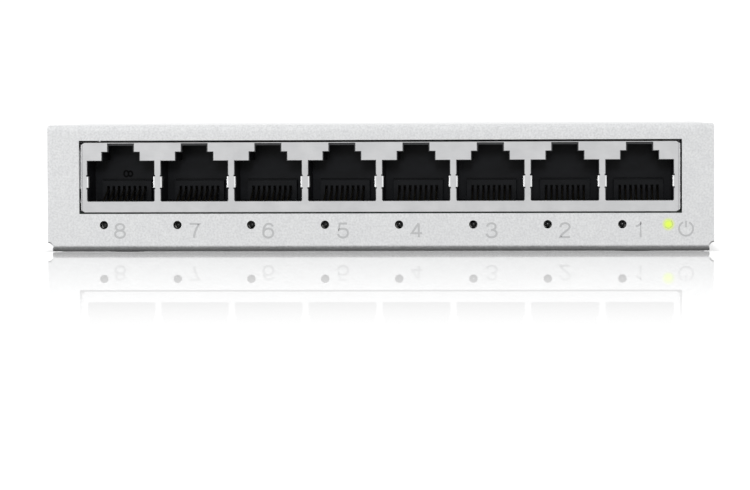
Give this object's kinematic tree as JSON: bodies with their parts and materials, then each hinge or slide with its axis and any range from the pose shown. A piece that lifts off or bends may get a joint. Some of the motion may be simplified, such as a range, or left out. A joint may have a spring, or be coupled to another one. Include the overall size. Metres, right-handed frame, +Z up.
{
  "type": "desktop network switch",
  "caption": "Flat metal-cased desktop Ethernet switch: a row of RJ45 ports and indicator holes in the front, a DC power inlet in the back.",
  "frame": {"origin": "centre of the footprint, on the table under the feet", "axes": "+X to the right seen from the port side, +Y from the port side to the back, +Z up"},
  "size_m": [0.1256, 0.066, 0.024],
  "materials": {
    "case_paint": "fine sand-texture silver-white powder coat",
    "shield_plate": "tin-plated sheet, satin",
    "jack_plastic": "moulded black glass-filled plastic",
    "contact_gold": "gold-plated spring wire",
    "screw_steel": "zinc-plated steel",
    "standoff_brass": "turned brass",
    "foot_rubber": "soft matt rubber",
    "board_laminate": "green solder mask on glass-fibre laminate",
    "guard_plastic": "black plastic",
    "led_clear": "clear lens, unlit",
    "led_lit": "clear lens, lit yellow-green",
    "inlet_plastic": "moulded black plastic",
    "inlet_metal": "nickel-plated",
    "chip_epoxy": "black moulded epoxy",
    "thermal_silicone": "grey-blue silicone pad",
    "heatsink_aluminium": "extruded, natural finish",
    "capacitor_can": "aluminium can",
    "crystal_can": "plated can",
    "ferrite": "pressed ferrite"
  },
  "bodies": {
    "case": {"base_tray": "case_paint", "board_screw_back_left": "screw_steel", "board_screw_back_right": "screw_steel", "board_screw_front_left": "screw_steel", "board_screw_front_right": "screw_steel", "circuit_board": "board_laminate", "cover_screw_left": "screw_steel", "cover_screw_right": "screw_steel", "crystal": "crystal_can", "dc_inlet_body": "inlet_plastic", "dc_inlet_pin": "inlet_metal", "dc_inlet_spring": "inlet_metal", "heatsink": "heatsink_aluminium", "inductor": "ferrite", "input_capacitor": "capacitor_can", "jack_housing": "jack_plastic", "jack_shield": "shield_plate", "led_light_guard": "guard_plastic", "led_port_1": "led_clear", "led_port_2": "led_clear", "led_port_3": "led_clear", "led_port_4": "led_clear", "led_port_5": "led_clear", "led_port_6": "led_clear", "led_port_7": "led_clear", "led_port_8": "led_clear", "led_power": "led_lit", "magnetics_ports_1_2": "chip_epoxy", "magnetics_ports_3_4": "chip_epoxy", "magnetics_ports_5_6": "chip_epoxy", "magnetics_ports_7_8": "chip_epoxy", "output_capacitor": "capacitor_can", "port_1_contact_carrier": "jack_plastic", "port_2_contact_carrier": "jack_plastic", "port_3_contact_carrier": "jack_plastic", "port_4_contact_carrier": "jack_plastic", "port_5_contact_carrier": "jack_plastic", "port_6_contact_carrier": "jack_plastic", "port_7_contact_carrier": "jack_plastic", "port_8_contact_carrier": "jack_plastic", "power_regulator": "chip_epoxy", "rubber_foot_back_left": "foot_rubber", "rubber_foot_back_right": "foot_rubber", "rubber_foot_front_left": "foot_rubber", "rubber_foot_front_right": "foot_rubber", "standoff_back_left": "standoff_brass", "standoff_back_right": "standoff_brass", "standoff_front_left": "standoff_brass", "standoff_front_right": "standoff_brass", "switch_chip": "chip_epoxy", "thermal_pad": "thermal_silicone", "top_cover": "case_paint"},
    "port_1_contacts": {"port_1_contact_springs": "contact_gold"},
    "port_2_contacts": {"port_2_contact_springs": "contact_gold"},
    "port_3_contacts": {"port_3_contact_springs": "contact_gold"},
    "port_4_contacts": {"port_4_contact_springs": "contact_gold"},
    "port_5_contacts": {"port_5_contact_springs": "contact_gold"},
    "port_6_contacts": {"port_6_contact_springs": "contact_gold"},
    "port_7_contacts": {"port_7_contact_springs": "contact_gold"},
    "port_8_contacts": {"port_8_contact_springs": "contact_gold"}
  },
  "joints": [
    {"name": "port_1_contacts_press", "type": "hinge", "parent": "case", "child": "port_1_contacts", "pos_m": [0.0489, -0.03145, 0.00895], "axis": [-1, 0, 0], "range_deg": [0, 9], "stiffness_Nm_per_rad": 0.4},
    {"name": "port_2_contacts_press", "type": "hinge", "parent": "case", "child": "port_2_contacts", "pos_m": [0.03492, -0.03145, 0.00895], "axis": [-1, 0, 0], "range_deg": [0, 9], "stiffness_Nm_per_rad": 0.4},
    {"name": "port_3_contacts_press", "type": "hinge", "parent": "case", "child": "port_3_contacts", "pos_m": [0.02096, -0.03145, 0.00895], "axis": [-1, 0, 0], "range_deg": [0, 9], "stiffness_Nm_per_rad": 0.4},
    {"name": "port_4_contacts_press", "type": "hinge", "parent": "case", "child": "port_4_contacts", "pos_m": [0.00698, -0.03145, 0.00895], "axis": [-1, 0, 0], "range_deg": [0, 9], "stiffness_Nm_per_rad": 0.4},
    {"name": "port_5_contacts_press", "type": "hinge", "parent": "case", "child": "port_5_contacts", "pos_m": [-0.00698, -0.03145, 0.00895], "axis": [-1, 0, 0], "range_deg": [0, 9], "stiffness_Nm_per_rad": 0.4},
    {"name": "port_6_contacts_press", "type": "hinge", "parent": "case", "child": "port_6_contacts", "pos_m": [-0.02096, -0.03145, 0.00895], "axis": [-1, 0, 0], "range_deg": [0, 9], "stiffness_Nm_per_rad": 0.4},
    {"name": "port_7_contacts_press", "type": "hinge", "parent": "case", "child": "port_7_contacts", "pos_m": [-0.03492, -0.03145, 0.00895], "axis": [-1, 0, 0], "range_deg": [0, 9], "stiffness_Nm_per_rad": 0.4},
    {"name": "port_8_contacts_press", "type": "hinge", "parent": "case", "child": "port_8_contacts", "pos_m": [-0.0489, -0.03145, 0.00895], "axis": [-1, 0, 0], "range_deg": [0, 9], "stiffness_Nm_per_rad": 0.4}
  ]
}
